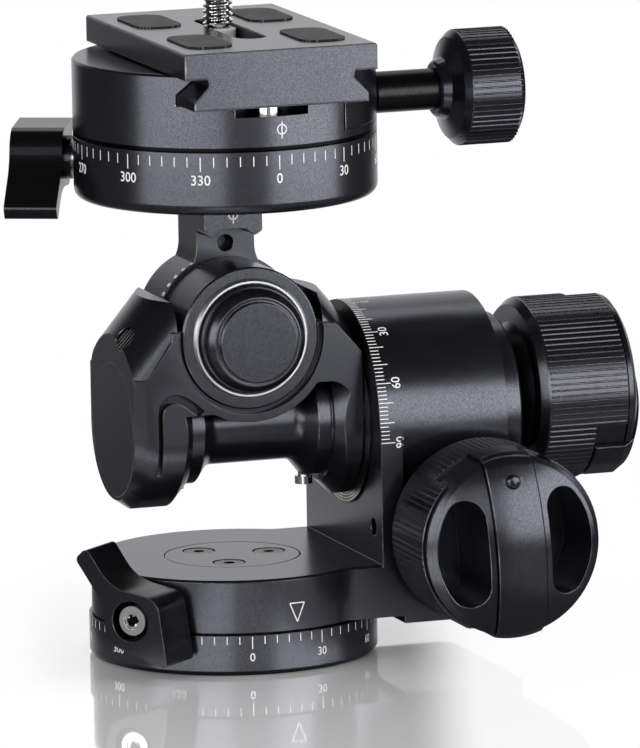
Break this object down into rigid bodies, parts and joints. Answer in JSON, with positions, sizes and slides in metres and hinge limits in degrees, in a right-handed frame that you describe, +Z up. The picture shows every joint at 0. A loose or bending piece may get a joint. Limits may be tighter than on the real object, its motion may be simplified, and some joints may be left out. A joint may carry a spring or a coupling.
{
  "type": "geared tripod head",
  "caption": "Geared camera tripod head: panning base, rolling yoke and pitching cradle with worm knobs, upper panning ring and dovetail quick-release clamp.",
  "frame": {"origin": "centre of the base's underside, on the panning axis", "axes": "+Z up along the panning axis, +X along the barrel to the right, +Y to the back"},
  "size_m": [0.1373, 0.0862, 0.1385],
  "materials": {
    "body_black": "bead-blasted, black anodised",
    "knob_black": "turned, black anodised",
    "lever_black": "satin black",
    "chrome": "bright",
    "steel": "ground",
    "black_steel": "black oxide",
    "brass": "machined",
    "rubber": "fine ribbed",
    "glide": "smooth"
  },
  "bodies": {
    "base": {"base_scale_ring": "body_black", "tripod_bush": "steel", "base_glide_ring": "glide", "base_cap": "body_black", "base_cap_screws": "black_steel"},
    "head": {"bracket": "body_black", "bearing_ring": "brass", "barrel_collar": "body_black", "roll_bush": "brass"},
    "base_lever": {"base_lock_lever": "lever_black", "base_lock_screw": "chrome", "base_lock_stud": "steel"},
    "roll_drive": {"roll_worm": "steel", "roll_knob_rim": "knob_black"},
    "roll_release": {"roll_knob_face": "knob_black", "roll_knob_strap": "knob_black", "roll_knob_pin": "knob_black"},
    "fork": {"yoke": "body_black", "yoke_spindle": "steel", "roll_wheel": "brass", "yoke_end_cap": "body_black", "yoke_screws": "chrome", "front_drum": "body_black", "front_ring": "chrome", "front_cap": "body_black", "rear_drum": "body_black", "rear_cap": "body_black", "pitch_axle": "steel"},
    "pitch_drive": {"pitch_drive_shaft": "steel", "pitch_knob_rim": "knob_black"},
    "pitch_release": {"pitch_knob_face": "knob_black", "pitch_knob_strap": "knob_black", "pitch_knob_pin": "knob_black"},
    "platform": {"cradle": "body_black", "pitch_wheel": "brass", "top_scale_ring": "body_black", "cradle_screw": "steel"},
    "top_lever": {"top_lock_lever": "lever_black", "top_lock_screw": "chrome", "top_lock_stud": "steel"},
    "clamp": {"clamp_body": "body_black", "clamp_stop_screw": "chrome"},
    "jaw": {"clamp_jaw": "body_black"},
    "clamp_handle": {"clamp_screw": "black_steel", "clamp_knob": "knob_black"},
    "plate": {"release_plate": "body_black", "plate_pads": "rubber"},
    "screw_shoe": {"camera_screw_slider": "glide"},
    "stud": {"camera_screw": "chrome"}
  },
  "joints": [
    {"name": "base_pan", "type": "hinge", "parent": "base", "child": "head", "pos_m": [0, 0, 0.02], "axis": [0, 0, 1], "continuous": true},
    {"name": "base_lock", "type": "hinge", "parent": "head", "child": "base_lever", "pos_m": [-0.02269, -0.02008, 0.0134], "axis": [-0.749, -0.6626, 0], "range_deg": [-20, 70]},
    {"name": "roll_tilt", "type": "hinge", "parent": "head", "child": "fork", "pos_m": [0.025, 0, 0.049], "axis": [1, 0, 0], "range_deg": [-30, 90]},
    {"name": "roll_knob", "type": "hinge", "parent": "head", "child": "roll_drive", "pos_m": [0.0457, -0.03, 0.027], "axis": [0, -1, 0], "continuous": true},
    {"name": "roll_release_turn", "type": "hinge", "parent": "roll_drive", "child": "roll_release", "pos_m": [0.0457, -0.03, 0.027], "axis": [0, -1, 0], "range_deg": [0, 20]},
    {"name": "pitch_tilt", "type": "hinge", "parent": "fork", "child": "platform", "pos_m": [0, 0, 0.06886], "axis": [0, -1, 0], "range_deg": [-28, 28]},
    {"name": "pitch_knob", "type": "hinge", "parent": "fork", "child": "pitch_drive", "pos_m": [0.07, 0, 0.0511], "axis": [1, 0, 0], "continuous": true},
    {"name": "pitch_release_turn", "type": "hinge", "parent": "pitch_drive", "child": "pitch_release", "pos_m": [0.07, 0, 0.0511], "axis": [1, 0, 0], "range_deg": [0, 20]},
    {"name": "top_pan", "type": "hinge", "parent": "platform", "child": "clamp", "pos_m": [0, 0, 0.111], "axis": [0, 0, 1], "continuous": true},
    {"name": "top_lock", "type": "hinge", "parent": "platform", "child": "top_lever", "pos_m": [-0.02912, 0.0142, 0.1052], "axis": [-0.8988, 0.4384, 0], "range_deg": [0, 44]},
    {"name": "jaw_slide", "type": "slide", "parent": "clamp", "child": "jaw", "axis": [1, 0, 0], "range_m": [0, 0.003]},
    {"name": "clamp_turn", "type": "hinge", "parent": "jaw", "child": "clamp_handle", "pos_m": [0.04, 0, 0.1169], "axis": [1, 0, 0], "range_deg": [0, 1081]},
    {"name": "plate_slide", "type": "slide", "parent": "clamp", "child": "plate", "axis": [0, 1, 0], "range_m": [-0.012, 0.012]},
    {"name": "stud_slide", "type": "slide", "parent": "plate", "child": "screw_shoe", "axis": [0, 1, 0], "range_m": [-0.01, 0.003]},
    {"name": "stud_turn", "type": "hinge", "parent": "screw_shoe", "child": "stud", "pos_m": [0, 0.0034, 0.131], "axis": [0, 0, 1], "continuous": true}
  ],
  "couplings": [
    {"joint": "roll_knob", "follows": "roll_tilt", "ratio": 48},
    {"joint": "pitch_knob", "follows": "pitch_tilt", "ratio": 48},
    {"joint": "clamp_turn", "follows": "jaw_slide", "rad_per_m": 6283.2}
  ]
}
